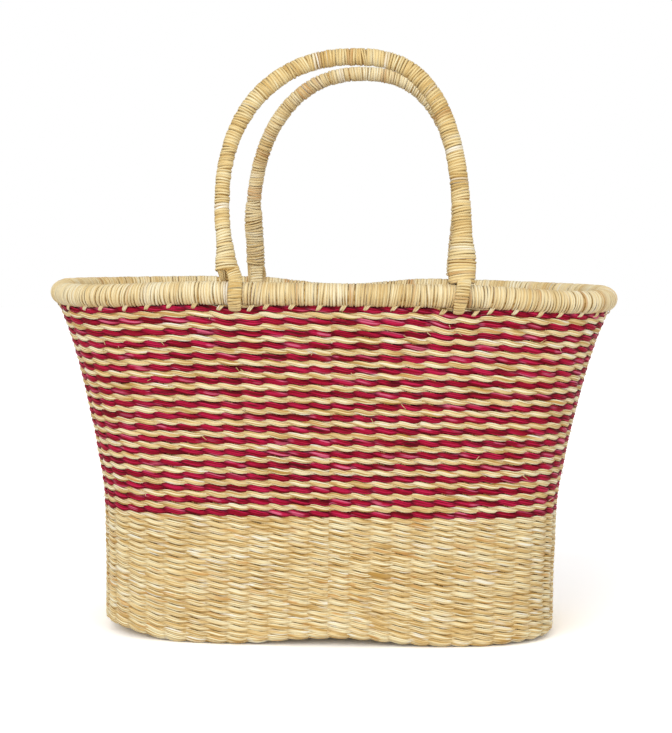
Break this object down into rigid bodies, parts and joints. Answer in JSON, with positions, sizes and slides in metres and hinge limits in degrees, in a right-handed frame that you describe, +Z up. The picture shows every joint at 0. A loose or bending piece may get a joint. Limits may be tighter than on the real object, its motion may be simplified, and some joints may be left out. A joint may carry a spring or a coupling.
{
  "type": "woven straw shopping basket",
  "caption": "Oval twined straw shopper with a flared striped wall, a bound rolled rim and two carrying handles that swing on loops round the rim.",
  "frame": {"origin": "centre of the footprint, on the surface that the basket stands on", "axes": "+Z up, X along the basket's length, -Y towards its pictured front"},
  "size_m": [0.423, 0.2207, 0.4284],
  "materials": {
    "natural_straw": "twined pale golden straw",
    "red_straw": "twined straw dyed crimson",
    "stake_straw": "flat straw bundles",
    "binding_straw": "straw wound tight round a bundle",
    "core_straw": "raw straw bundle"
  },
  "bodies": {
    "basket": {"base_weave_under": "natural_straw", "base_weave_inside": "natural_straw", "lower_band_weave": "natural_straw", "inner_wall_weave": "natural_straw", "red_course_winding": "red_straw", "natural_course_winding": "natural_straw", "crosswise_stake_01": "stake_straw", "crosswise_stake_02": "stake_straw", "crosswise_stake_03": "stake_straw", "crosswise_stake_04": "stake_straw", "crosswise_stake_05": "stake_straw", "crosswise_stake_06": "stake_straw", "crosswise_stake_07": "stake_straw", "crosswise_stake_08": "stake_straw", "crosswise_stake_09": "stake_straw", "crosswise_stake_10": "stake_straw", "crosswise_stake_11": "stake_straw", "crosswise_stake_12": "stake_straw", "crosswise_stake_13": "stake_straw", "crosswise_stake_14": "stake_straw", "crosswise_stake_15": "stake_straw", "crosswise_stake_16": "stake_straw", "crosswise_stake_17": "stake_straw", "crosswise_stake_18": "stake_straw", "crosswise_stake_19": "stake_straw", "crosswise_stake_20": "stake_straw", "crosswise_stake_21": "stake_straw", "crosswise_stake_22": "stake_straw", "lengthwise_stake_1": "stake_straw", "lengthwise_stake_2": "stake_straw", "lengthwise_stake_3": "stake_straw", "lengthwise_stake_4": "stake_straw", "lengthwise_stake_5": "stake_straw", "lengthwise_stake_6": "stake_straw", "lengthwise_stake_7": "stake_straw", "lengthwise_stake_8": "stake_straw", "rim_core": "core_straw", "rim_binding": "binding_straw"},
    "front_handle": {"front_handle_core": "core_straw", "front_handle_binding": "binding_straw"},
    "rear_handle": {"rear_handle_core": "core_straw", "rear_handle_binding": "binding_straw"}
  },
  "joints": [
    {"name": "front_handle_swing", "type": "hinge", "parent": "basket", "child": "front_handle", "pos_m": [0.00872, -0.09688, 0.2524], "axis": [1, 0.0093, 0], "range_deg": [-20, 130]},
    {"name": "rear_handle_swing", "type": "hinge", "parent": "basket", "child": "rear_handle", "pos_m": [0.00872, 0.09688, 0.2524], "axis": [-1, 0.0093, 0], "range_deg": [-20, 130]}
  ]
}
